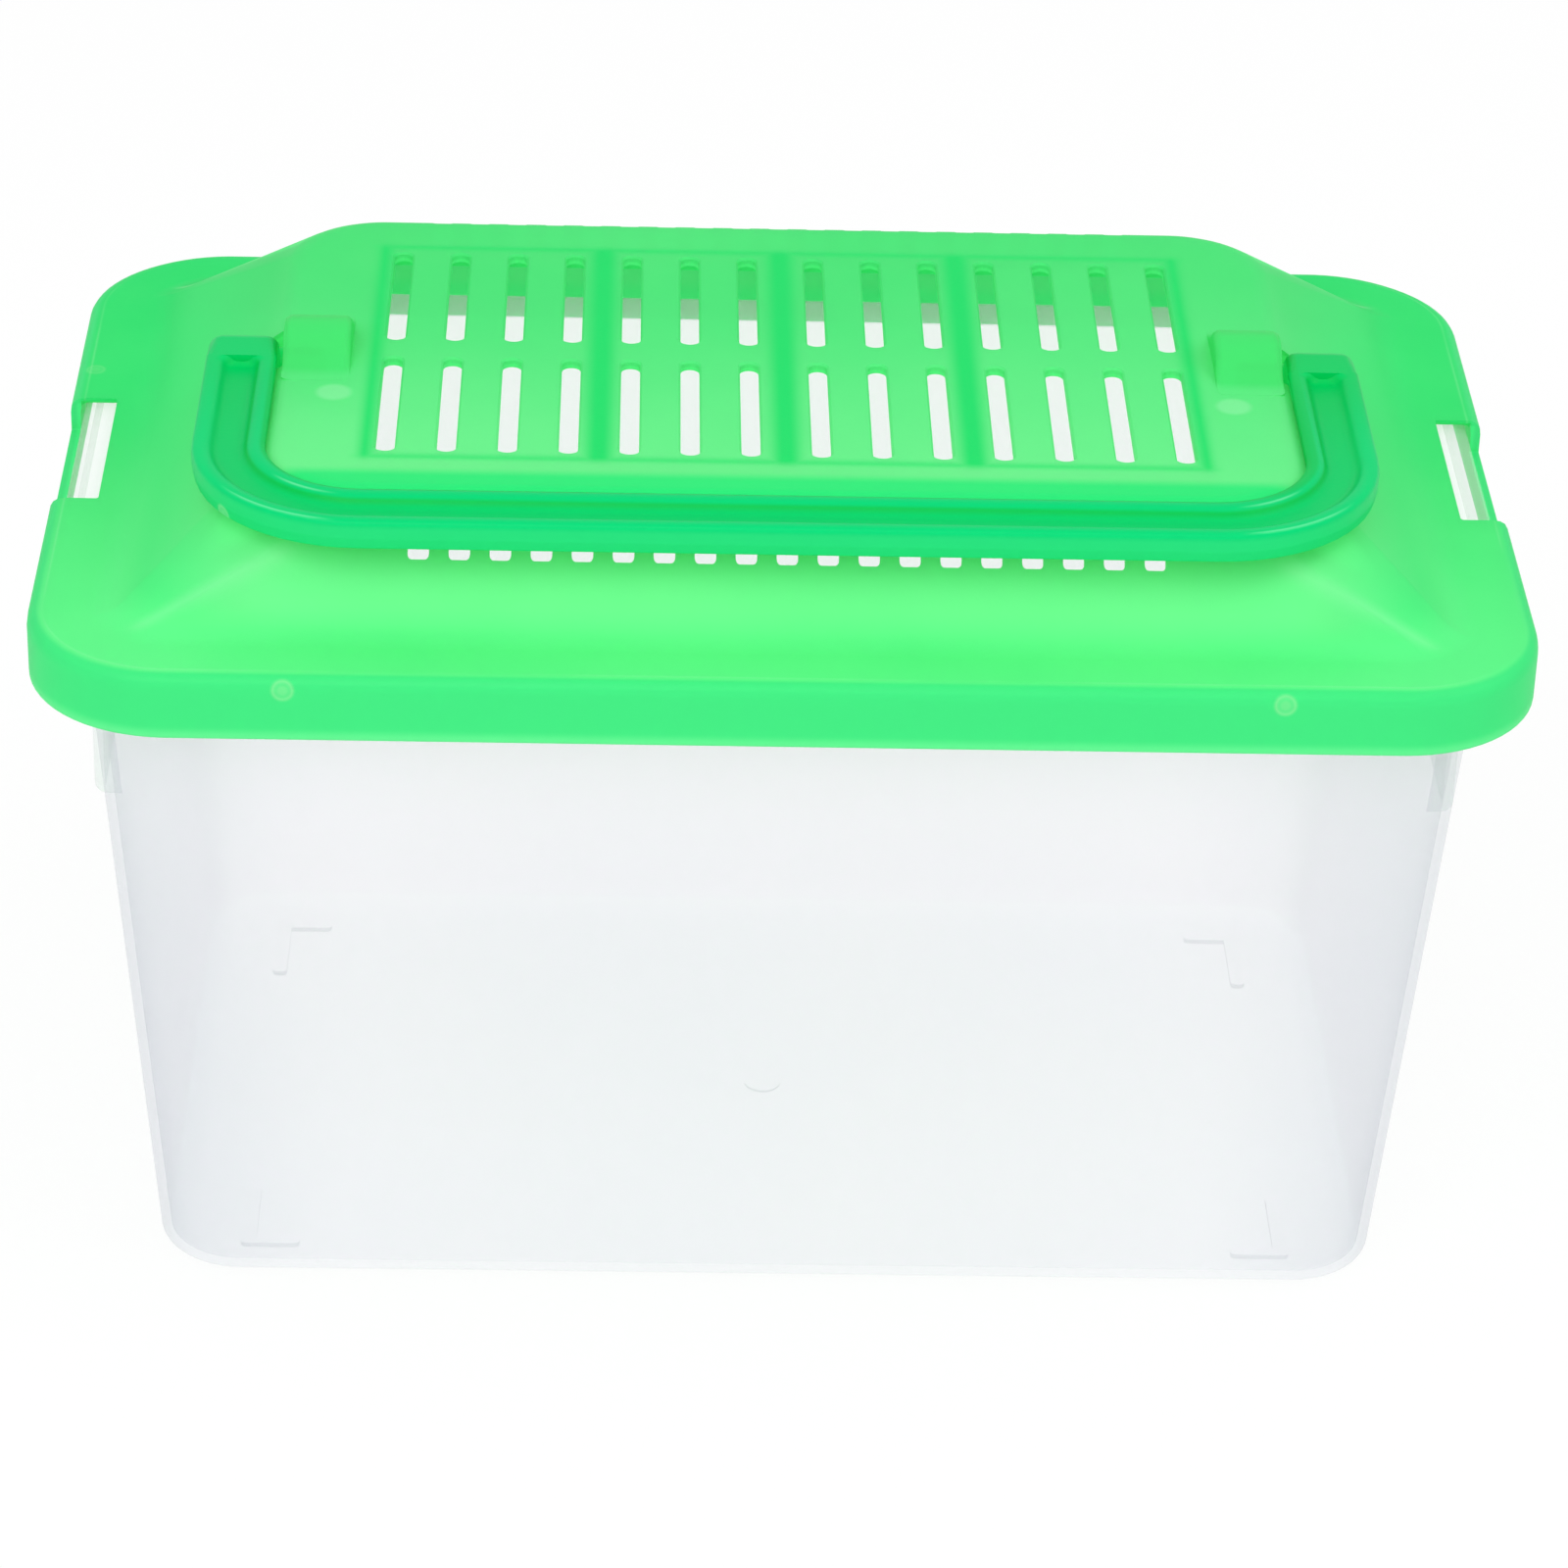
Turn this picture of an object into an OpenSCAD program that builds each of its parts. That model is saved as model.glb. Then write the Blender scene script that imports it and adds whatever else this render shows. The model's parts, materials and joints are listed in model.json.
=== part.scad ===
/* [Tub] */
// Length of the tub's outside at the surface it stands on
base_l = 205.4; // [195:0.2:206]
// Width of the tub's outside at the surface it stands on
base_w = 121.6; // [112:0.2:122]
// Height of the tub up to its rim
tub_h = 123.2; // [110:0.2:140]
// Outward slope of the tub's walls in degrees
draft = 4; // [3:0.1:4.4]
// Thickness of the tub's walls and floor
tub_wall = 1.6; // [1.2:0.1:2.2]
// Radius of the tub's upright corners
tub_r = 14; // [12:0.5:20]
// Radius of the rounding between the walls and the base
base_round = 2; // [2:0.5:9]
// Width of the rim's flat top outside the wall
rim_out = 6.6; // [5:0.1:7]
// Radius of the rim's corners
rim_r = 21.3; // [19:0.1:22.5]
// Height of the rim's turned-down edge
rim_drop = 8.5; // [5:0.1:10]
// Thickness of the rim
rim_wall = 1.6; // [1.2:0.1:2]
// Width of the apron under the rim at each short end
apron_w = 70; // [40:1:90]
// Height of each apron's lower edge above the surface
apron_z = 79; // [60:1:100]
// How far each apron's face stands out of the wall at its lower edge
apron_out = 4.7; // [3.6:0.1:5.5]
// Radius of the apron's lower outer edge
apron_round = 2; // [1:0.5:3]

/* [Feet] */
// Height of the feet under the base
foot_h = 1; // [0.6:0.1:1.5]
// Width of each foot's two arms
foot_t = 2.6; // [1.6:0.1:4]
// Distance of the feet from the base's short sides
foot_in_l = 13.4; // [8:0.1:20]
// Distance of the feet from the base's long sides
foot_in_w = 8.5; // [7:0.1:14]
// Length of each foot's arm along the length of the tub
foot_arm_l = 10; // [6:1:16]
// Length of each foot's arm along the width of the tub
foot_arm_w = 18; // [8:1:24]

/* [Lid] */
// Thickness of the lid's walls
lid_wall = 1.6; // [1.2:0.1:2]
// Height of the lid's skirt
skirt_h = 11.1; // [9.5:0.1:14]
// Radius of the shoulder between the skirt and the flange
shoulder_r = 1.6; // [0.8:0.1:2.4]
// Width of the flat flange around the dome
flange_w = 13; // [11:0.1:14]
// Radius of the dome's corners at the flange
dome_foot_r = 6; // [4:0.5:10]
// Height of the dome above the flange
dome_h = 19.3; // [18:0.1:22]
// How far the dome's short ends lean inwards
lean_l = 24.8; // [22:0.1:26]
// How far the dome's long sides lean inwards
lean_w = 14.5; // [12:0.1:15]
// Radius of the corners of the dome's flat top
top_r = 15; // [10:0.5:18]
// Length of the rounding of the dome's edges along each surface
edge_round = 1.6; // [0.8:0.1:2.4]

/* [Windows] */
// Width of the window at each short end
window_w = 36.8; // [24:0.2:50]
// How far each window reaches inwards from the lid's edge
window_in = 8; // [6:0.1:8.5]
// How far each window reaches down the skirt
window_drop = 6; // [4:0.1:7]

/* [Grille] */
// Slots in each half of a row
slots_half = 7; // [3:1:7]
// Distance from one slot to the next
slot_pitch = 9.75; // [8:0.05:9.8]
// Distance between the two middle slots of a row
slot_gap = 11.3; // [9:0.1:11.6]
// Width of a slot
slot_w = 3.1; // [2:0.1:3.5]
// Length of a slot
slot_l = 34; // [26:0.2:35]
// Distance between the two rows of slots
row_gap = 6.7; // [5:0.1:8]
// Distance of the end ribs under the grille from the outermost slots
end_rib_gap = 0.4; // [0.3:0.1:1.5]
// Distance of the long ribs under the grille from the ends of the slots
long_rib_gap = 2; // [1:0.1:3]
// Width of the end ribs
end_rib_t = 2.6; // [1.6:0.1:3]
// Width of the long ribs
long_rib_t = 1; // [0.8:0.1:1.6]
// Width of the ribs across the grille
cross_rib_t = 4.2; // [2:0.1:4.6]
// Slots between one rib across the grille and the next
rib_every = 3; // [2:1:4]
// Depth of the ribs below the top plate
rib_h = 1.8; // [1:0.1:2.5]
// Vents along each long slope
vents = 19; // [9:2:19]
// Distance from one vent to the next
vent_pitch = 6.45; // [5.5:0.05:6.6]
// Width of a vent
vent_w = 3.4; // [2:0.1:4]
// Length of a vent, measured flat across the slope
vent_l = 7.4; // [4:0.1:8]
// How far the vents cut into the flat top of the dome
vent_in = 0.3; // [0.2:0.1:1]

/* [Handle] */
// Width of the handle's arms and bar
grip_w = 11.7; // [10:0.1:12.5]
// Height of the handle's outer wall
grip_h = 5.1; // [5:0.1:7]
// Distance of the bar from the dome's flat top, seen from above
bar_gap = 2.4; // [1.5:0.1:4]
// Inner radius of the handle's corners
bend_r = 16; // [14:0.5:17]
// Width of the channel along the top of the handle
channel_w = 6.2; // [4:0.1:7]
// Depth of the channel
channel_d = 1.8; // [1:0.1:2.2]
// Thickness of the floor of the channel
channel_floor = 1.3; // [1:0.1:1.6]
// Length of solid handle from the pivot to the channel's end
solid_end = 6; // [3:0.5:8]
// Height of the handle's top above the flat top of the dome
handle_up = 1.3; // [1.2:0.1:3]

/* [Pivot] */
// Depth of the pivot axis below the flat top of the dome
pivot_down = 2.9; // [1:0.1:3.2]
// Radius of the hump around each pivot
hump_r = 7.8; // [6.5:0.1:8.5]
// Thickness of each hump along the pivot axis
hump_t = 11.1; // [9:0.1:12]
// Distance of the hump's foot from the pivot axis
hump_foot = 12.5; // [9:0.1:14]
// Radius of the pivot pins
pin_r = 2.4; // [1.8:0.1:3]
// Length of the pivot pins
pin_l = 7; // [5:0.1:8]
// Half length of the recess for the handle's end
recess_y = 7; // [6:0.1:8]

/* [Clearances] */
// Gap between the lid's flange and the rim it rests on
seat_gap = 0.3; // [0.2:0.05:0.5]
// Gap between the lid's skirt and the rim
skirt_gap = 0.5; // [0.4:0.05:1]
// Gap between the humps and the handle's arms
arm_gap = 0.9; // [0.5:0.1:1.2]
// Least height of the handle over the dome
ride_gap = 0.35; // [0.3:0.05:0.6]
// Gap between a pin and its bore, on the radius
pin_gap = 0.05; // [0.03:0.01:0.09]
// Gap between the end of a pin and the bottom of its bore
pin_end_gap = 0.5; // [0.3:0.1:1]
// Gap under the handle's round end in its recess
recess_gap = 1.8; // [1:0.1:2.2]
// Gap beside the handle's arm in its recess
recess_side = 0.7; // [0.4:0.1:1.2]

/* [Hidden] */
$fn = 64;
// Steps around each corner of the drafted shells
corner_steps = 8;
// Steps around each rounded edge of the lid
round_steps = 3;
// Steps around the rounding at the base of the tub
base_steps = 5;
// Least radius of that rounding inside the tub
base_least = 0.2;
// Extra length of a cut past the surface it opens
over = 2;
// How far one shape runs into the next that it joins
sunk = 0.8;

// Half sizes of the tub's outside at its rim
wall_x = base_l / 2 + tub_h * tan(draft);
wall_y = base_w / 2 + tub_h * tan(draft);
rim_x = wall_x + rim_out;
rim_y = wall_y + rim_out;
// Plan position of each apron's face
apron_x = base_l / 2 + apron_z * tan(draft) + apron_out;
// Outer corner of the feet
foot_x = base_l / 2 - foot_in_l;
foot_y = base_w / 2 - foot_in_w;

// Outside of the lid, which hangs over the rim
lid_x = rim_x + skirt_gap + lid_wall;
lid_y = rim_y + skirt_gap + lid_wall;
lid_r = rim_r + skirt_gap + lid_wall;
flange_z = tub_h + seat_gap + lid_wall;
skirt_z = flange_z - skirt_h;
top_z = flange_z + dome_h;
// Half sizes of the dome at the flange and at its flat top
dome_x = lid_x - flange_w;
dome_y = lid_y - flange_w;
top_x = dome_x - lean_l;
top_y = dome_y - lean_w;
// Slopes of the dome's ends and sides, in degrees
slope_x = atan(dome_h / lean_l);
slope_y = atan(dome_h / lean_w);

// Rows of slots and of vents
slot_y = row_gap / 2 + slot_l / 2;
// Outside of the frame of ribs under the grille
frame_x = slot_gap / 2 + (slots_half - 1) * slot_pitch + slot_w / 2 + end_rib_gap + end_rib_t;
frame_y = row_gap / 2 + slot_l + long_rib_gap + long_rib_t;
cross_rib_x = slot_gap / 2 + (rib_every - 0.5) * slot_pitch;
vent_y = top_y - vent_in;

// Pivot, humps and handle
pivot_z = top_z - pivot_down;
handle_z = top_z + handle_up;
hump_x = top_x;
arm_x = hump_x + arm_gap;
end_r = handle_z - pivot_z;
recess_x = arm_x + grip_w + recess_side;
recess_z = pivot_z - end_r - recess_gap;
bar_y = top_y + bar_gap;
// Least height of the handle's inner wall over the end slope
inner_h = handle_z - (top_z - arm_gap * tan(slope_x)) - ride_gap;
wall_t = (grip_w - channel_w) / 2;
// Radius and centre height of the blend at the hump's foot
blend_r = (pow(hump_foot, 2) + pow(pivot_down, 2) - pow(hump_r, 2)) / (2 * (hump_r - pivot_down));
blend_z = top_z + blend_r;
blend_top = pivot_z + hump_r / (hump_r + blend_r) * (blend_z - pivot_z);

// A ring is [half length, half width, corner radius, height]
function ringPoints(k) = [for (c = [0:3], i = [0:corner_steps])
    let (t = 90 * (c + i / corner_steps), sx = (c == 0 || c == 3) ? 1 : -1, sy = c < 2 ? 1 : -1)
    [sx * (k[0] - k[2]) + k[2] * cos(t), sy * (k[1] - k[2]) + k[2] * sin(t), k[3]]];

// Point on the way from one ring to another
function between(p, q, t) = p + (q - p) * t;

// Point at a distance from ring q towards ring p, measured along the length or the height
function towards(q, p, d) = between(q, p, min(0.45, d / max(norm([p[0] - q[0], p[3] - q[3]]), 0.001)));

// Rings of a rounded edge at ring q, between its neighbours p and r
function roundedEdge(p, q, r, d) = [for (i = [0:round_steps])
    let (t = i / round_steps, a = towards(q, p, d), b = towards(q, r, d))
    a * (1 - t) * (1 - t) + q * 2 * t * (1 - t) + b * t * t];

// Closed solid through a stack of rings, from the bottom to the top
module loft(rings) {
    n = 4 * (corner_steps + 1);
    last = (len(rings) - 1) * n;
    points = [for (k = rings) each ringPoints(k)];
    sides = [for (j = [0:len(rings) - 2], i = [0:n - 1])
        let (a = j * n + i, b = j * n + (i + 1) % n)
        each [[a, a + n, b], [b, a + n, b + n]]];
    polyhedron(points, concat([[for (i = [0:n - 1]) i]], sides, [[for (i = [n - 1:-1:0]) last + i]]));
}

// Flat rounded rectangle of half sizes x and y
module plate(x, y, r) {
    square([2 * x, 2 * (y - r)], center = true);
    square([2 * (x - r), 2 * y], center = true);
    for (sx = [-1, 1], sy = [-1, 1]) translate([sx * (x - r), sy * (y - r)]) circle(r);
}

// Upright wall that follows a rounded rectangle
module band(x, y, r, t, z0, z1) {
    translate([0, 0, z0]) linear_extrude(z1 - z0) difference() {
        plate(x, y, r);
        plate(x - t, y - t, r - t);
    }
}

// Solid of the tub's outside, or of its inside when inset is the wall
module tubSolid(inset, floor_z, top) {
    bend = max(base_round - inset, base_least);
    function wallRing(z, back) = [base_l / 2 + z * tan(draft) - inset - back,
        base_w / 2 + z * tan(draft) - inset - back, tub_r - inset - back, z];
    loft(concat(
        [for (i = [0:base_steps]) let (t = 90 * i / base_steps)
            wallRing(floor_z + bend * (1 - cos(t)), bend * (1 - sin(t)))],
        [wallRing(top, 0)]));
}

// Box-shaped apron with an open underside, at the right-hand end
module apron() {
    difference() {
        translate([0, apron_w / 2, 0]) rotate([90, 0, 0]) linear_extrude(apron_w) union() {
            translate([base_l / 2, apron_z]) square([apron_x - apron_round - base_l / 2, tub_h - apron_z]);
            translate([base_l / 2, apron_z + apron_round])
                square([apron_x - base_l / 2, tub_h - apron_z - apron_round]);
            translate([apron_x - apron_round, apron_z + apron_round]) circle(apron_round);
        }
        translate([base_l / 2 - over, tub_wall - apron_w / 2, apron_z - over])
            cube([apron_x - tub_wall - base_l / 2 + over, apron_w - 2 * tub_wall,
                tub_h - rim_wall - apron_z + over]);
    }
}

// Low L-shaped foot at the corner with positive X and Y
module foot() {
    linear_extrude(foot_h + sunk) {
        translate([foot_x - foot_arm_l, foot_y - foot_t]) square([foot_arm_l, foot_t]);
        translate([foot_x - foot_t, foot_y - foot_arm_w]) square([foot_t, foot_arm_w]);
    }
}

module tub() {
    color([0.93, 0.95, 0.96, 0.6]) {
        difference() {
            union() {
                tubSolid(0, foot_h, tub_h);
                translate([0, 0, tub_h - rim_wall]) linear_extrude(rim_wall) plate(rim_x, rim_y, rim_r);
                for (side = [0, 1]) mirror([side, 0, 0]) apron();
            }
            tubSolid(tub_wall, foot_h + tub_wall, tub_h + over);
        }
        band(rim_x, rim_y, rim_r, rim_wall, tub_h - rim_drop, tub_h);
        for (sx = [0, 1], sy = [0, 1]) mirror([sx, 0, 0]) mirror([0, sy, 0]) foot();
    }
}

// Solid of the lid's outside, or of its inside when inset is the wall
module lidSolid(inset, bottom) {
    dx = inset * tan(slope_x / 2);
    dy = inset * tan(slope_y / 2);
    low = [lid_x - inset, lid_y - inset, lid_r - inset, bottom];
    shoulder = [lid_x - inset, lid_y - inset, lid_r - inset, flange_z - inset];
    crease = [dome_x - dx, dome_y - dy, dome_foot_r, flange_z - inset];
    edge = [top_x - dx, top_y - dy, top_r, top_z - inset];
    middle = [0.5 * edge[0], 0.5 * edge[1], 0.5 * edge[2], edge[3]];
    soft = max(edge_round - inset, 0.3);
    loft(concat([low],
        roundedEdge(low, shoulder, crease, max(shoulder_r - inset, 0.3)),
        roundedEdge(shoulder, crease, edge, edge_round),
        roundedEdge(crease, edge, middle, soft)));
}

// Side view of the hump, with y along X and z along Y
module humpProfile() {
    translate([0, pivot_z]) circle(hump_r);
    difference() {
        translate([-hump_foot, top_z - lid_wall]) square([2 * hump_foot, blend_top - top_z + lid_wall]);
        for (s = [-1, 1]) translate([s * hump_foot, blend_z]) circle(blend_r);
    }
}

// Turns a side view into a block from x0 to x1
module block(x0, x1) {
    translate([x0, 0, 0]) rotate([90, 0, 90]) linear_extrude(x1 - x0) children();
}

// Stadium-shaped slot along Y
module slot() {
    straight = slot_l - slot_w;
    square([slot_w, straight], center = true);
    for (s = [-1, 1]) translate([0, s * straight / 2]) circle(slot_w / 2);
}

// All slots and vents, as upright cuts
module perforations() {
    height = top_z - flange_z + over;
    translate([0, 0, flange_z]) linear_extrude(height) {
        for (sx = [-1, 1], sy = [-1, 1], i = [0:slots_half - 1])
            translate([sx * (slot_gap / 2 + i * slot_pitch), sy * slot_y]) slot();
        for (sy = [-1, 1], i = [0:vents - 1])
            translate([(i - (vents - 1) / 2) * vent_pitch - vent_w / 2, sy > 0 ? vent_y : -vent_y - vent_l])
                square([vent_w, vent_l]);
    }
}

// Ribs under the top plate
module ribs() {
    translate([0, 0, top_z - lid_wall - rib_h]) linear_extrude(rib_h + sunk) {
        difference() {
            square([2 * frame_x, 2 * frame_y], center = true);
            square([2 * (frame_x - end_rib_t), 2 * (frame_y - long_rib_t)], center = true);
        }
        for (i = [-1:1]) translate([i * cross_rib_x, 0]) square([cross_rib_t, 2 * frame_y], center = true);
    }
}

// Walls of the recess for the handle's end, at the right-hand end
module recessWalls() {
    translate([hump_x - lid_wall, -recess_y - lid_wall, recess_z - lid_wall])
        cube([recess_x - hump_x + 2 * lid_wall, 2 * (recess_y + lid_wall), top_z - recess_z + lid_wall]);
}

module lid() {
    color([0.25, 0.92, 0.47, 0.8]) difference() {
        union() {
            difference() {
                lidSolid(0, skirt_z);
                lidSolid(lid_wall, skirt_z - over);
            }
            intersection() {
                lidSolid(0, skirt_z);
                for (side = [0, 1]) mirror([side, 0, 0]) recessWalls();
            }
            for (side = [0, 1]) mirror([side, 0, 0]) block(hump_x - hump_t, hump_x) humpProfile();
            ribs();
        }
        perforations();
        for (side = [0, 1]) mirror([side, 0, 0]) {
            translate([hump_x, -recess_y, recess_z]) cube([recess_x - hump_x, 2 * recess_y, dome_h]);
            translate([hump_x - pin_l + arm_gap - pin_end_gap, 0, pivot_z]) rotate([0, 90, 0])
                cylinder(h = pin_l - arm_gap + pin_end_gap + over, r = pin_r + pin_gap);
            translate([lid_x - window_in, -window_w / 2, flange_z - window_drop])
                cube([window_in + over, window_w, window_drop + over]);
        }
    }
}

// Section of the handle: inner edge at x = 0, top at y = 0
module gripSection() {
    under = channel_d + channel_floor;
    difference() {
        polygon([[0, 0], [0, -inner_h], [wall_t, -under], [grip_w - wall_t, -under],
            [grip_w - wall_t, -grip_h], [grip_w, -grip_h], [grip_w, 0]]);
        translate([wall_t, -channel_d]) square([channel_w, channel_d + over]);
    }
}

// Arm, half bar, bend and pin at the right-hand end
module handleHalf() {
    bend_x = arm_x - bend_r;
    bend_y = -(bar_y - bend_r);
    translate([arm_x, -solid_end, handle_z]) rotate([90, 0, 0])
        linear_extrude(-bend_y - solid_end) gripSection();
    translate([bend_x, bend_y, handle_z]) rotate([0, 0, -90]) rotate_extrude(angle = 90)
        translate([bend_r, 0]) gripSection();
    translate([0, -bar_y, handle_z]) rotate([90, 0, 90]) linear_extrude(bend_x) mirror([1, 0]) gripSection();
    translate([arm_x, -solid_end, pivot_z]) cube([grip_w, solid_end, end_r]);
    translate([arm_x, 0, pivot_z]) rotate([0, 90, 0]) cylinder(h = grip_w, r = end_r);
    translate([arm_x - pin_l, 0, pivot_z]) rotate([0, 90, 0]) cylinder(h = pin_l + sunk, r = pin_r);
}

module handle() {
    color([0.12, 0.85, 0.47]) for (side = [0, 1]) mirror([side, 0, 0]) handleHalf();
}

tub();
lid();
handle();
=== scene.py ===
import json
import math
import bpy
import bmesh
from mathutils import Matrix, Vector


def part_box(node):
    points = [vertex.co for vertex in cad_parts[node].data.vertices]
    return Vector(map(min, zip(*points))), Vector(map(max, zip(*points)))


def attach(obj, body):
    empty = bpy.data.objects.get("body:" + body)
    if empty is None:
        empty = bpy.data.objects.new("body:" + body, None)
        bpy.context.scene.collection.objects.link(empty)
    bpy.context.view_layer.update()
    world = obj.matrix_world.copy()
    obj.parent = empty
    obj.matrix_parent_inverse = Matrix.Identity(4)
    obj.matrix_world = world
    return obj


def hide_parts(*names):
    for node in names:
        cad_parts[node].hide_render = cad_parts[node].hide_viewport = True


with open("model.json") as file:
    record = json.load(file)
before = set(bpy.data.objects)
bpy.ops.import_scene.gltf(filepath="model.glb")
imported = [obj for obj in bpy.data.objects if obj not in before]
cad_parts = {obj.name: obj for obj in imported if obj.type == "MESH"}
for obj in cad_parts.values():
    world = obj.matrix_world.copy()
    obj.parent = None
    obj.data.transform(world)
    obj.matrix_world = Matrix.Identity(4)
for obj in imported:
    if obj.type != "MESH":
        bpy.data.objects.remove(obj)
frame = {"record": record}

bpy.context.view_layer.update()

# Every size below is in millimetres, and every mesh is written in metres
mm = 0.001


def linked(name, data):
    # New object in the scene, for a mesh, a camera or a lamp
    made = bpy.data.objects.new(name, data)
    bpy.context.scene.collection.objects.link(made)
    return made


def nodeBox(node):
    low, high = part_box(node)
    return Vector(low) / mm, Vector(high) / mm


tubHigh = nodeBox("tub")[1]
lidLow, lidHigh = nodeBox("lid")
handleLow, handleHigh = nodeBox("handle")
pivot = next(Vector(joint["pos_m"]) / mm for joint in frame["record"]["behaviour"]["joints"]
             if joint["type"] == "hinge")
print("frame loaded")


# Camera, at the photograph's viewing angle
cameraSizes = {
    "place": (-23.79, -834.81, 547.11),
    "yaw": 1.79, "pitch": 30.14, "roll": -1.73,
    "focalPixels": 5702.41, "framePixels": 1600, "sensor": 36.0,
    "clip": (0.05, 20),
}


def makeCamera(sizes):
    yaw, pitch, roll = (math.radians(sizes[key]) for key in ("yaw", "pitch", "roll"))
    forward = Vector((math.sin(yaw) * math.cos(pitch), math.cos(yaw) * math.cos(pitch), -math.sin(pitch)))
    levelRight = Vector((math.cos(yaw), -math.sin(yaw), 0))
    levelDown = forward.cross(levelRight)
    right = levelRight * math.cos(roll) + levelDown * math.sin(roll)
    down = -levelRight * math.sin(roll) + levelDown * math.cos(roll)
    data = bpy.data.cameras.new("camera")
    data.sensor_width = sizes["sensor"]
    data.lens = sizes["focalPixels"] / sizes["framePixels"] * sizes["sensor"]
    data.clip_start, data.clip_end = sizes["clip"]
    camera = linked("camera", data)
    turn = Matrix((right, -down, -forward)).transposed().to_4x4()
    camera.matrix_world = Matrix.Translation(Vector(sizes["place"]) * mm) @ turn
    bpy.context.scene.camera = camera


makeCamera(cameraSizes)
print("camera placed")


# Meshes

def meshObject(name, vertices, faces):
    mesh = bpy.data.meshes.new(name)
    mesh.from_pydata([Vector(v) * mm for v in vertices], [], faces)
    mesh.update()
    return linked(name, mesh)


def applied(piece):
    # Turns the evaluated object into a plain mesh and drops its modifiers
    bpy.context.view_layer.update()
    evaluated = piece.evaluated_get(bpy.context.evaluated_depsgraph_get())
    mesh = bpy.data.meshes.new_from_object(evaluated)
    old = piece.data
    piece.modifiers.clear()
    piece.data = mesh
    mesh.name = piece.name
    bpy.data.meshes.remove(old)
    return piece


def combined(piece, operation, tools):
    # One exact boolean with several tools, which are deleted after it
    group = bpy.data.collections.new("tools")
    bpy.context.scene.collection.children.link(group)
    for tool in tools:
        bpy.context.scene.collection.objects.unlink(tool)
        group.objects.link(tool)
    modifier = piece.modifiers.new("combine", "BOOLEAN")
    modifier.operation = operation
    modifier.solver = "EXACT"
    modifier.operand_type = "COLLECTION"
    modifier.collection = group
    applied(piece)
    for tool in tools:
        bpy.data.objects.remove(tool)
    bpy.data.collections.remove(group)


def smoothed(piece, sharpAngle=34):
    # Smooth shading with sharp edges past an angle, and flat faces kept flat
    mesh = piece.data
    mesh.shade_smooth()
    mesh.set_sharp_from_angle(angle=math.radians(sharpAngle))
    modifier = piece.modifiers.new("evenNormals", "WEIGHTED_NORMAL")
    modifier.keep_sharp = True
    modifier.weight = 60
    return applied(piece)


def outward(piece):
    # Turns every face of a closed mesh outwards
    work = bmesh.new()
    work.from_mesh(piece.data)
    bmesh.ops.recalc_face_normals(work, faces=work.faces)
    work.to_mesh(piece.data)
    work.free()
    return piece


def ring(halfX, halfY, radius, z, flat=0.0):
    # One level of a loft, as a vector so that levels can be blended
    return Vector((halfX, halfY, radius, z, flat))


def ringPoints(shape, steps, centre):
    # Rounded rectangle, anticlockwise from above; flat draws each corner towards a straight cut
    halfX, halfY, radius, z, flat = shape
    points = []
    for corner in range(4):
        sx = 1 if corner in (0, 3) else -1
        sy = 1 if corner < 2 else -1
        start, end = math.radians(90 * corner), math.radians(90 * (corner + 1))
        for i in range(steps + 1):
            part = i / steps
            angle = start + (end - start) * part
            cutX = math.cos(start) * (1 - part) + math.cos(end) * part
            cutY = math.sin(start) * (1 - part) + math.sin(end) * part
            x = math.cos(angle) * (1 - flat) + cutX * flat
            y = math.sin(angle) * (1 - flat) + cutY * flat
            points.append((centre[0] + sx * (halfX - radius) + radius * x,
                           centre[1] + sy * (halfY - radius) + radius * y, z))
    return points


def softProfile(stops, steps=4, most=0.47):
    # Rounds a stack of rings: each stop is a ring and the length of its rounding, up to a share of its side
    rings = [stops[0][0]]
    for before, (shape, soft), after in zip(stops, stops[1:], stops[2:]):
        if soft == 0:
            rings.append(shape)
            continue
        ends = []
        for other in (before[0], after[0]):
            length = math.hypot(other[0] - shape[0], other[3] - shape[3])
            ends.append(shape.lerp(other, min(most, soft / length)))
        for i in range(steps + 1):
            t = i / steps
            rings.append(ends[0] * (1 - t) ** 2 + shape * 2 * t * (1 - t) + ends[1] * t * t)
    rings.append(stops[-1][0])
    return rings


def sleeve(count, rows, turned=False):
    # Faces of a sleeve of rows of points, closed at both ends; turned winds them the other way
    last = (rows - 1) * count
    first, end = range(count), range(last, last + count)
    faces = [tuple(first if turned else reversed(first))]
    for j in range(rows - 1):
        for i in range(count):
            a, b = j * count + i, j * count + (i + 1) % count
            faces.append((a, a + count, b + count, b) if turned else (a, b, b + count, a + count))
    faces.append(tuple(reversed(end) if turned else end))
    return faces


def loft(name, rings, steps, centre=(0, 0)):
    # Closed body through a stack of rings, with so many steps in each rounded corner
    vertices = [point for shape in rings for point in ringPoints(shape, steps, centre)]
    return meshObject(name, vertices, sleeve(4 * (steps + 1), len(rings)))


def softBlock(name, low, high, radius, edge=0.4, steps=5):
    # Block with rounded upright corners and rounded top and bottom edges
    halfX, halfY = (high[0] - low[0]) / 2, (high[1] - low[1]) / 2
    centre = ((high[0] + low[0]) / 2, (high[1] + low[1]) / 2)

    def at(inset, z):
        return ring(halfX - inset, halfY - inset, max(radius - inset, 0.05), z)
    stops = [(at(edge * 2, low[2]), 0), (at(0, low[2]), edge),
             (at(0, high[2]), edge), (at(edge * 2, high[2]), 0)]
    return loft(name, softProfile(stops), steps, centre)


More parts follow.
